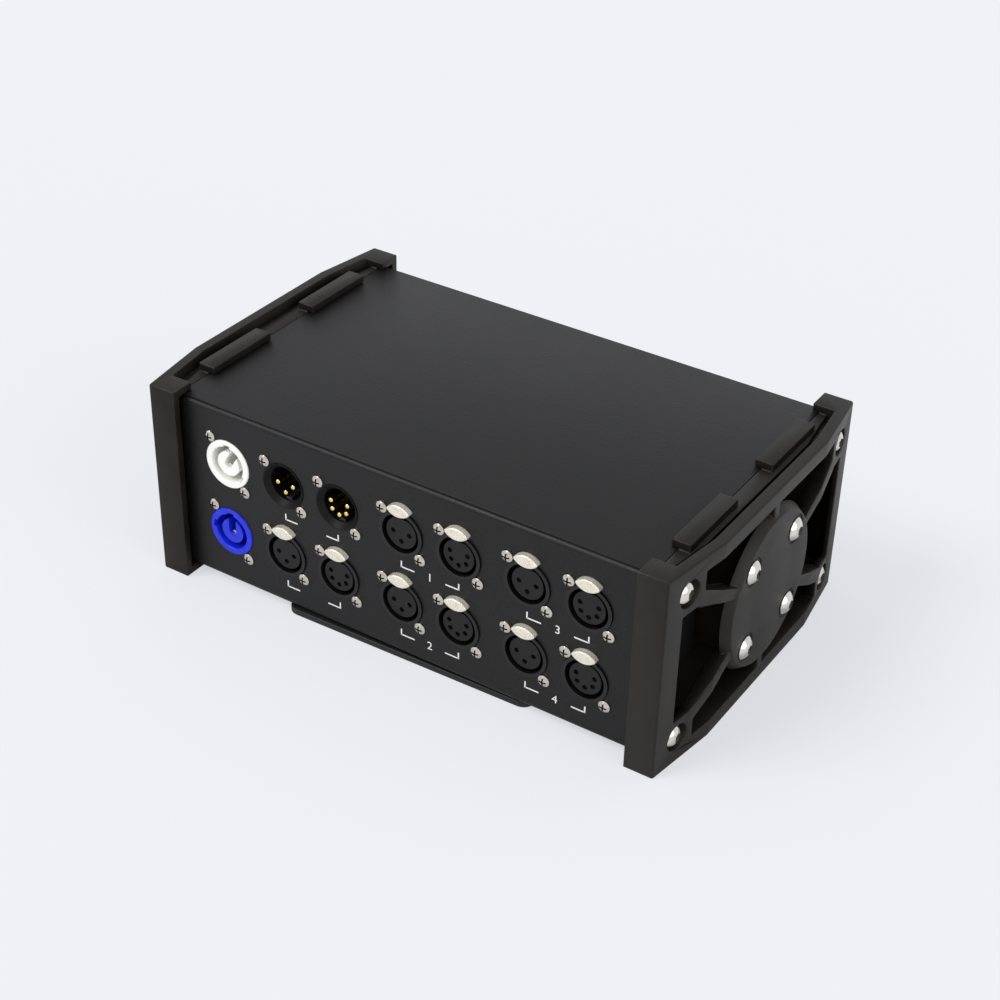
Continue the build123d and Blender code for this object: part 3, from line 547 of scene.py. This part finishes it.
class Finish(Enum):
    """Every finish on the object."""

    PANEL = PowderCoat("panel_powder", (0.0028, 0.0028, 0.0030), (0.014, 0.014, 0.0145), gloss=0.30)
    LID = PowderCoat("lid_powder", (0.0030, 0.0030, 0.0032), (0.017, 0.017, 0.0175), roughness=0.48,
                     gloss=0.33)
    TRAY = PowderCoat("tray_powder", (0.0015, 0.0015, 0.0016), (0.0035, 0.0035, 0.0036), roughness=0.75,
                      gloss=0.12)
    PLATE = PowderCoat("plate_powder", (0.005, 0.005, 0.005), (0.012, 0.012, 0.012), roughness=0.5)
    CHEEK = MouldedRubber("moulded_rubber", (0.0048, 0.0038, 0.0026), (0.0185, 0.0152, 0.0108))
    CHEEK_EDGE = MouldedRubber("moulded_rubber_edge", (0.0056, 0.0048, 0.0036), (0.021, 0.0182, 0.0135),
                               scuff=0.45)
    CHROME = PlatedMetal("chrome_dome", (0.74, 0.72, 0.67), (0.46, 0.44, 0.39), 0.13, haze=0.08)
    NICKEL = PlatedMetal("nickel_screw", (0.62, 0.58, 0.51), (0.34, 0.30, 0.26), 0.18, haze=0.12,
                         grain=1.0 * MM)
    # Painted shade: darker copies of the screw metal for the recesses in the heads, standing in for the
    # shadow inside them.
    PAINTED_RECESS_SHADE = PlatedMetal("screw_recess_painted_shade", (0.050, 0.045, 0.040), (0.025, 0.022, 0.020), 0.45)
    PAINTED_KEY_SOCKET_SHADE = PlatedMetal("key_socket_painted_shade", (0.40, 0.38, 0.34), (0.24, 0.22, 0.19), 0.30)
    ZINC = PlatedMetal("zinc_steel", (0.62, 0.62, 0.60), (0.45, 0.45, 0.44), 0.32, haze=0.15)
    GOLD = PlatedMetal("gold_contact", (0.88, 0.66, 0.26), (0.74, 0.52, 0.18), 0.16)
    TIN = PlatedMetal("tin_contact", (0.80, 0.79, 0.76), (0.62, 0.61, 0.58), 0.24)
    SHELL = MouldedPlastic("socket_shell", (0.0030, 0.0030, 0.0032), (0.006, 0.006, 0.0063), gloss=0.35)
    INPUT_SHELL = MouldedPlastic("input_shell", (0.0035, 0.0035, 0.0037), (0.007, 0.007, 0.0073),
                                 roughness=0.46, gloss=0.14)
    INSERT = MouldedPlastic("insert_plastic", (0.0035, 0.0035, 0.0037), (0.007, 0.007, 0.0073),
                            roughness=0.5, gloss=0.3)
    BLUE = MouldedPlastic("inlet_blue", (0.008, 0.026, 0.70), (0.005, 0.017, 0.52), roughness=0.34,
                          gloss=0.35)
    WHITE = MouldedPlastic("outlet_white", (0.95, 0.95, 0.91), (0.90, 0.90, 0.85), roughness=0.34)
    TAB = GrainedTab("tab_grain", (0.90, 0.86, 0.74), (0.50, 0.45, 0.34))
    INK = PrintedInk("panel_ink", (0.80, 0.80, 0.79), (0.6, 0.6, 0.6))
    BOARD = BoardLaminate("board_green", (0.02, 0.13, 0.06), (0.05, 0.24, 0.11))
    CHIP = MouldedPlastic("chip_epoxy", (0.02, 0.02, 0.02), (0.035, 0.035, 0.035), roughness=0.6)
    IRON = PlatedMetal("transformer_iron", (0.30, 0.27, 0.22), (0.20, 0.18, 0.15), 0.45, haze=0.2)
    CAN = MouldedPlastic("capacitor_sleeve", (0.03, 0.04, 0.12), (0.05, 0.06, 0.18), roughness=0.3)
    TERMINAL = MouldedPlastic("terminal_green", (0.04, 0.26, 0.09), (0.03, 0.2, 0.07))
    WIRE = MouldedPlastic("wire_grey", (0.22, 0.21, 0.20), (0.3, 0.29, 0.27), roughness=0.5)

    @cache
    def made(self) -> bpy.types.Material:
        """The material of this finish, built on first use."""
        return self.value.material()


def placed(name: str, data: bpy.types.ID) -> bpy.types.Object:
    """Adds an object to the scene.

    Args:
        name: Its name.
        data: Its mesh, curve, lamp or lens.

    Returns:
        The new object.
    """
    piece = bpy.data.objects.new(name, data)
    bpy.context.scene.collection.objects.link(piece)
    return piece


def drawn_mesh(piece: bpy.types.Object) -> bpy.types.Mesh:
    """The mesh that an object shows once its modifiers or curves are worked out."""
    depsgraph = bpy.context.evaluated_depsgraph_get()
    return bpy.data.meshes.new_from_object(piece.evaluated_get(depsgraph))


def dress(piece: bpy.types.Object, *finishes: Finish) -> None:
    """Gives a piece its materials, in slot order.

    Args:
        piece: The object.
        finishes: One finish for each material slot.
    """
    piece.data.materials.clear()
    for finish in finishes:
        piece.data.materials.append(finish.made())


def softened_edges(mesh: bpy.types.Mesh, crease: float = CREASE) -> None:
    """Smooths the shading of a mesh but for its sharp edges.

    Args:
        mesh: The mesh.
        crease: Angle in degrees over which an edge stays sharp.
    """
    for face in mesh.polygons:
        face.use_smooth = True
    mesh.set_sharp_from_angle(angle=math.radians(crease))


def dress_nodes(finish: Finish, nodes: Iterable[str]) -> None:
    """Puts one finish on CAD nodes that keep their own shape.

    Args:
        finish: The finish.
        nodes: Names of the nodes.
    """
    for node in nodes:
        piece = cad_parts[node]
        dress(piece, finish)
        softened_edges(piece.data)
        LOG.info("%s dressed in %s", node, finish.value.name)


@dataclass(frozen=True)
class RoundedCopy:
    """A CAD node redrawn with rounded edges, which stands for the node.

    Attributes:
        width: Size of the rounding.
        segments: Steps of the rounding.
        limit: Angle over which an edge is rounded, in degrees.
        crease: Angle over which a rounded edge stays sharp, in degrees.
        weld: Distance within which corners become one.
    """

    width: float
    segments: int = 3
    limit: float = CREASE
    crease: float = 40.0
    weld: float = 0.002 * MM

    def make(self, node: str, body: str, *finishes: Finish) -> None:
        """Builds the copy.

        Args:
            node: The CAD node.
            body: The body that it rides on.
            finishes: Finish of the faces and, where given, of the rounded edges.
        """
        piece = placed(node + "_rounded", self.welded(node))
        dress(piece, *finishes)
        for face in piece.data.polygons:
            face.material_index = 0
        self.bevel(piece, 1 if len(finishes) > 1 else -1)
        softened_edges(piece.data, self.crease)
        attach(piece, body)
        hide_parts(node)
        LOG.info("%s rounded by %.2f mm", node, self.width / MM)

    def welded(self, node: str) -> bpy.types.Mesh:
        """The node's mesh with its corners joined.

        Args:
            node: The CAD node.

        Returns:
            A new mesh, without the normals that the node's own mesh stores.
        """
        mesh = bpy.data.meshes.new(node + "_rounded")
        shape = bmesh.new()
        shape.from_mesh(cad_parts[node].data)
        bmesh.ops.remove_doubles(shape, verts=shape.verts, dist=self.weld)
        shape.to_mesh(mesh)
        shape.free()
        stored = mesh.attributes.get("custom_normal")
        if stored is not None:
            mesh.attributes.remove(stored)
        return mesh

    def bevel(self, piece: bpy.types.Object, slot: int) -> None:
        """Rounds the edges of a piece.

        Args:
            piece: The object, whose mesh is redrawn.
            slot: Material slot of the rounded edges, or -1 for that of their faces.
        """
        bevel = piece.modifiers.new("rounding", "BEVEL")
        bevel.width = self.width
        bevel.segments = self.segments
        bevel.limit_method = "ANGLE"
        bevel.angle_limit = math.radians(self.limit)
        bevel.use_clamp_overlap = False
        bevel.miter_outer = "MITER_ARC"
        bevel.harden_normals = False
        bevel.material = slot
        rounded = drawn_mesh(piece)
        piece.modifiers.clear()
        piece.data = rounded


@dataclass(frozen=True)
class DomedHeads:
    """Domed screw heads that face one way, with painted shade in their recesses.

    Attributes:
        outward: Direction that the heads face.
        radius: Radius of a head.
        rise: Height of its dome.
        reach: Radius within which the recess lies.
        apart: Distance within which points belong to one screw.
        sunk: Depth under the dome from which a face counts as recess.
    """

    outward: Triple
    radius: float
    rise: float
    reach: float
    apart: float
    sunk: float = 0.12 * MM

    def split(self, point: Vector) -> tuple[Vector, float]:
        """Splits a point's place by the screws' direction.

        Args:
            point: The point.

        Returns:
            Its place across the screws' axes, and its height along them.
        """
        outward = Vector(self.outward)
        height = outward.dot(point)
        return point - height * outward, height

    def tops(self, mesh: bpy.types.Mesh) -> list[tuple[Vector, float]]:
        """Finds the screws of a mesh.

        Args:
            mesh: The mesh of all the screws.

        Returns:
            Axis and foremost height of each screw.
        """
        groups: list[list[tuple[Vector, float]]] = []
        for vertex in mesh.vertices:
            across, height = self.split(vertex.co)
            near = [group for group in groups if (group[0][0] - across).length < self.apart]
            if near:
                near[0].append((across, height))
            else:
                groups.append([(across, height)])
        found = []
        for group in groups:
            lows = [min(across[axis] for across, _ in group) for axis in range(3)]
            highs = [max(across[axis] for across, _ in group) for axis in range(3)]
            found.append(((Vector(lows) + Vector(highs)) / 2, max(height for _, height in group)))
        return found

    def drop(self, off: float) -> float:
        """How far the dome lies under its top at this distance from the axis."""
        ball = (self.radius ** 2 + self.rise ** 2) / (2 * self.rise)
        return ball - math.sqrt(ball ** 2 - min(off, self.radius) ** 2)

    def dress(self, node: str, bright: Finish, dark: Finish) -> None:
        """Puts one finish on the heads and a darker one in their recesses, as painted shade.

        Args:
            node: The CAD node with the screws.
            bright: Finish of the heads.
            dark: Finish of the recesses, darker to paint their shade.
        """
        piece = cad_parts[node]
        dress(piece, bright, dark)
        softened_edges(piece.data)
        tops = self.tops(piece.data)
        for face in piece.data.polygons:
            across, height = self.split(face.center)
            axis, top = min(tops, key=lambda screw: (screw[0] - across).length)
            off = (axis - across).length
            sunken = top - height > self.drop(off) + self.sunk
            # Faces sunk inside the recess take the darker finish: painted shade.
            face.material_index = int(off < self.reach and sunken)
        LOG.info("%s: %d heads dressed", node, len(tops))


@dataclass(frozen=True)
class Casing:
    """Panels, lid and tray of the steel box, and the plate beneath it.

    Attributes:
        sheet_round: Rounding of the lid's edges.
        plate_round: Rounding of the plate's edges.
    """

    sheet_round: float = 0.22 * MM
    plate_round: float = 0.4 * MM

    def build(self) -> None:
        """Rounds and dresses the sheets, the plate and the fasteners."""
        RoundedCopy(self.sheet_round).make("top_cover", ROOT, Finish.LID)
        dress_nodes(Finish.PANEL, ("front_panel", "rear_panel"))
        dress_nodes(Finish.TRAY, ("base_tray",))
        RoundedCopy(self.plate_round).make("mounting_plate", "mounting_plate", Finish.PLATE)
        dress_nodes(Finish.ZINC, ("panel_screws", "plate_bolt", "plate_washer", "plate_nut",
                                  "cheek_screw_nuts", "socket_nuts", "supply_pillars", "supply_screws"))


@dataclass(frozen=True)
class Cheeks:
    """The two moulded ends with their domed screws.

    Attributes:
        edge_round: Rounding of the moulded edges.
        head_radius: Radius of a screw's head.
        head_rise: Height of its dome.
        key_reach: Radius within which its key socket lies.
        screw_reach: Distance within which points belong to one screw.
    """

    edge_round: float = 0.55 * MM
    head_radius: float = 5.5 * MM
    head_rise: float = 2.7 * MM
    key_reach: float = 2.4 * MM
    screw_reach: float = 12.0 * MM

    def build(self) -> None:
        """Rounds and dresses both cheeks and their screws."""
        for side, outward in (("left", (-1.0, 0.0, 0.0)), ("right", (1.0, 0.0, 0.0))):
            RoundedCopy(self.edge_round).make(f"{side}_cheek", ROOT, Finish.CHEEK, Finish.CHEEK_EDGE)
            heads = DomedHeads(outward, self.head_radius, self.head_rise, self.key_reach, self.screw_reach)
            # The key sockets take the darker finish as painted shade.
            heads.dress(f"{side}_cheek_screws", Finish.CHROME, Finish.PAINTED_KEY_SOCKET_SHADE)


@dataclass(frozen=True)
class Sockets:
    """Power and data sockets on the front panel.

    Attributes:
        data_pairs: Names of the pairs of female sockets.
        outward: Direction that the sockets face.
        tab_round: Rounding of the push tabs' edges.
        head_radius: Radius of a screw's head.
        head_rise: Height of its dome.
        cross_reach: Radius within which its cross recess lies.
        screw_reach: Distance within which points belong to one screw.
    """

    data_pairs: tuple[str, ...] = ("link", "output_1", "output_2", "output_3", "output_4")
    outward: Triple = (0.0, -1.0, 0.0)
    tab_round: float = 0.15 * MM
    head_radius: float = 2.9 * MM
    head_rise: float = 1.2 * MM
    cross_reach: float = 2.0 * MM
    screw_reach: float = 7.0 * MM

    def females(self) -> list[str]:
        """Names of the ten female sockets."""
        return [f"{pair}_{count}pin" for pair in self.data_pairs for count in (3, 5)]

    def build(self) -> None:
        """Dresses every socket."""
        for name in self.females():
            dress_nodes(Finish.SHELL, (name + "_shell",))
            tab = name + "_push_tab"
            RoundedCopy(self.tab_round).make(tab, tab, Finish.TAB)
        dress_nodes(Finish.INPUT_SHELL, ("input_3pin_shell", "input_5pin_shell"))
        dress_nodes(Finish.INSERT, ("three_hole_inserts", "five_hole_inserts", "input_3pin_insert",
                                    "input_5pin_insert"))
        dress_nodes(Finish.GOLD, ("female_contacts", "input_pins"))
        dress_nodes(Finish.TIN, ("input_earth_tabs", "power_contacts"))
        dress_nodes(Finish.BLUE, ("power_in_shell", "power_in_post"))
        dress_nodes(Finish.WHITE, ("power_link_shell", "power_link_post"))
        heads = DomedHeads(self.outward, self.head_radius, self.head_rise, self.cross_reach,
                           self.screw_reach)
        # The cross recesses take the darker finish as painted shade.
        heads.dress("socket_screws", Finish.NICKEL, Finish.PAINTED_RECESS_SHADE)


@dataclass(frozen=True)
class PanelPrint:
    """White lines that pair the sockets, with a number under each output pair.

    Attributes:
        cover: Thickness of the ink.
        stroke: Width of a line.
        upright: Height of the short lines at both ends.
        number_size: Height of the type.
        number_gap: Gap left in the line for the number.
        rows: Z of the line under each row of sockets.
        spans: First and last X of each bracket, with its row and number.
    """

    cover: float = 0.04 * MM
    stroke: float = 0.7 * MM
    upright: float = 3.2 * MM
    number_size: float = 6.0 * MM
    number_gap: float = 16.5 * MM
    rows: tuple[float, float] = (14.3 * MM, 51.8 * MM)
    spans: tuple[tuple[float, float, int, str], ...] = (
        (-63.6 * MM, -33.8 * MM, 1, ""), (1.0 * MM, 31.5 * MM, 1, "1"), (66.6 * MM, 97.3 * MM, 1, "3"),
        (-64.0 * MM, -33.7 * MM, 0, ""), (0.8 * MM, 31.8 * MM, 0, "2"), (66.9 * MM, 97.3 * MM, 0, "4"))

    @property
    def ink_y(self) -> float:
        """Y of the middle of the ink, which lies on the panel's face."""
        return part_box("front_panel")[0].y - self.cover / 2

    def build(self) -> None:
        """Prints every bracket and number."""
        for index, (left, right, row, number) in enumerate(self.spans):
            low = self.rows[row]
            gap = self.number_gap / 2
            middle = (left + right) / 2
            half = self.stroke / 2
            limits = [(left, middle - gap, low - half, low + half),
                      (middle + gap, right, low - half, low + half),
                      (left - half, left + half, low - half, low + self.upright),
                      (right - half, right + half, low - half, low + self.upright)]
            self.bars(f"pair_bracket_{index + 1}", limits)
            if number:
                self.number(f"pair_number_{number}", number, middle, low)

    def bars(self, name: str, limits: Sequence[tuple[float, float, float, float]]) -> None:
        """Thin printed bars.

        Args:
            name: Name of the piece.
            limits: Left, right, lower and upper limits of each.
        """
        mesh = bpy.data.meshes.new(name)
        shape = bmesh.new()
        for left, right, low, high in limits:
            centre = Vector(((left + right) / 2, self.ink_y, (low + high) / 2))
            size = Matrix.Diagonal((right - left, self.cover, high - low, 1.0))
            bmesh.ops.create_cube(shape, size=1.0, matrix=Matrix.Translation(centre) @ size)
        shape.to_mesh(mesh)
        shape.free()
        self.printed(name, mesh)

    def number(self, name: str, digit: str, middle: float, low: float) -> None:
        """One plain number.

        Args:
            name: Name of the piece.
            digit: The number.
            middle: X of its middle.
            low: Z of the line that it stands in.
        """
        curve = bpy.data.curves.new(name, "FONT")
        curve.body = digit
        curve.size = self.number_size
        curve.extrude = self.cover / 2
        curve.align_x = "CENTER"
        curve.align_y = "CENTER"
        type_piece = placed(name + "_curve", curve)
        mesh = drawn_mesh(type_piece)
        stand = Matrix.Translation((middle, self.ink_y, low))
        mesh.transform(stand @ Matrix.Rotation(math.pi / 2, 4, "X"))
        bpy.data.objects.remove(type_piece)
        self.printed(name, mesh)

    def printed(self, name: str, mesh: bpy.types.Mesh) -> None:
        """Adds a printed piece to the panel.

        Args:
            name: Name of the piece.
            mesh: Its mesh.
        """
        piece = placed(name, mesh)
        dress(piece, Finish.INK)
        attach(piece, ROOT)


@dataclass(frozen=True)
class Inside:
    """Boards, supply and wires behind the panels."""

    def build(self) -> None:
        """Dresses the inner nodes."""
        dress_nodes(Finish.BOARD, ("splitter_board", "supply_board"))
        dress_nodes(Finish.CHIP, ("splitter_board_chips",))
        dress_nodes(Finish.IRON, ("supply_transformer",))
        dress_nodes(Finish.CAN, ("supply_capacitors",))
        dress_nodes(Finish.TERMINAL, ("supply_terminals",))
        dress_nodes(Finish.WIRE, ("mains_wires", "low_voltage_wires"))


@dataclass(frozen=True)
class Sun:
    """A broad soft light from one direction.

    Attributes:
        name: The lamp's name.
        energy: Its strength.
        spread: Its apparent size in degrees.
        source: Direction that the light comes from.
    """

    name: str
    energy: float
    spread: float
    source: Triple

    def hang(self) -> None:
        """Adds the lamp to the scene."""
        lamp = bpy.data.lights.new(self.name, "SUN")
        lamp.energy = self.energy
        lamp.angle = math.radians(self.spread)
        holder = placed(self.name, lamp)
        holder.rotation_euler = Vector(self.source).to_track_quat("Z", "Y").to_euler()


@dataclass(frozen=True)
class Studio:
    """Floor, lights and camera.

    Attributes:
        camera_place: Where the camera stands.
        camera_turn: Azimuth, elevation and roll of its view, in degrees.
        lens: Focal length in millimetres.
        sensor: Width of the sensor in millimetres.
        near: Distance from which the camera sees.
        floor_half: Half the floor's side.
        floor_cloud: Size of the floor's changes of tone.
        floor_tones: The two tones of the floor.
        floor_lift: Share of the floor that shows its full tone, which thins the object's shadow.
        ambient: Level of the surroundings as a light.
        backdrop: Their colour as seen.
        suns: The two lamps.
    """

    camera_place: Triple = (0.4111, -0.6470, 0.5490)
    camera_turn: Triple = (32.383, 33.409, 1.5)
    lens: float = 70.0
    sensor: float = 36.0
    near: float = 0.05
    floor_half: float = 12.0
    floor_cloud: float = 0.8
    floor_tones: tuple[Colour, Colour] = ((0.852, 0.860, 0.893), (0.858, 0.866, 0.899))
    floor_lift: float = 0.68
    ambient: float = 0.62
    backdrop: Colour = (0.855, 0.863, 0.896)
    suns: tuple[Sun, ...] = (Sun("key_sun", 1.5, 28.0, (-0.42, -0.52, 0.74)),
                             Sun("side_sun", 0.95, 50.0, (0.90, -0.16, 0.34)))

    def build(self) -> None:
        """Makes the floor, the lights and the camera."""
        self.floor()
        self.world()
        for sun in self.suns:
            sun.hang()
        self.camera()

    def floor(self) -> None:
        """A pale plain floor."""
        mesh = bpy.data.meshes.new("floor")
        half = self.floor_half
        corners = [(-half, -half, 0.0), (half, -half, 0.0), (half, half, 0.0), (-half, half, 0.0)]
        mesh.from_pydata(corners, [], [(0, 1, 2, 3)])
        piece = placed("floor", mesh)
        graph = Graph.of_material("floor_paper")
        cloud = graph.noise(self.floor_cloud, detail=2.0)
        colour = graph.blend(cloud, *self.floor_tones)
        paper = graph.node("ShaderNodeBsdfDiffuse", None, {"Color": colour})
        bright = graph.node("ShaderNodeEmission", None, {"Color": rgba(self.backdrop)})
        seen = graph.node("ShaderNodeLightPath", output="Is Camera Ray")
        mixed = graph.node("ShaderNodeMixShader", None, {0: seen * self.floor_lift, 1: paper, 2: bright})
        graph.node("ShaderNodeOutputMaterial", None, {"Surface": mixed})
        mesh.materials.append(graph.owner)

    def world(self) -> None:
        """Even white surroundings, seen and mirrored in the floor's own pale tone."""
        graph = Graph(bpy.data.worlds.new("studio"))
        rays = [graph.node("ShaderNodeLightPath", output=f"Is {kind} Ray")
                for kind in ("Camera", "Glossy", "Transmission")]
        shown = rays[0].larger(rays[1]).larger(rays[2])
        tone = graph.blend(shown, (self.ambient,) * 3, self.backdrop)
        sky = graph.node("ShaderNodeBackground", None, {"Color": tone})
        graph.node("ShaderNodeOutputWorld", None, {"Surface": sky})
        bpy.context.scene.world = graph.owner

    def camera(self) -> None:
        """The camera at the photograph's viewpoint."""
        azimuth, elevation, roll = (math.radians(part) for part in self.camera_turn)
        back = Vector((math.sin(azimuth) * math.cos(elevation), -math.cos(azimuth) * math.cos(elevation),
                       math.sin(elevation)))
        right = Vector((math.cos(azimuth), math.sin(azimuth), 0.0))
        up = back.cross(right)
        rolled_right = right * math.cos(roll) + up * math.sin(roll)
        rolled_up = up * math.cos(roll) - right * math.sin(roll)
        lens = bpy.data.cameras.new("camera")
        lens.lens = self.lens
        lens.sensor_width = self.sensor
        lens.clip_start = self.near
        holder = placed("camera", lens)
        turn = Matrix((rolled_right, rolled_up, back)).transposed().to_4x4()
        holder.matrix_world = Matrix.Translation(self.camera_place) @ turn
        bpy.context.scene.camera = holder


def main() -> None:
    """Builds the splitter's looks in order."""
    logging.basicConfig(level=logging.INFO, format="%(name)s: %(message)s")
    bpy.context.scene.view_settings.view_transform = "Standard"
    for part in (Casing(), Cheeks(), Sockets(), PanelPrint(), Inside(), Studio()):
        part.build()
        LOG.info("%s done", type(part).__name__)


if __name__ == "__main__":
    main()
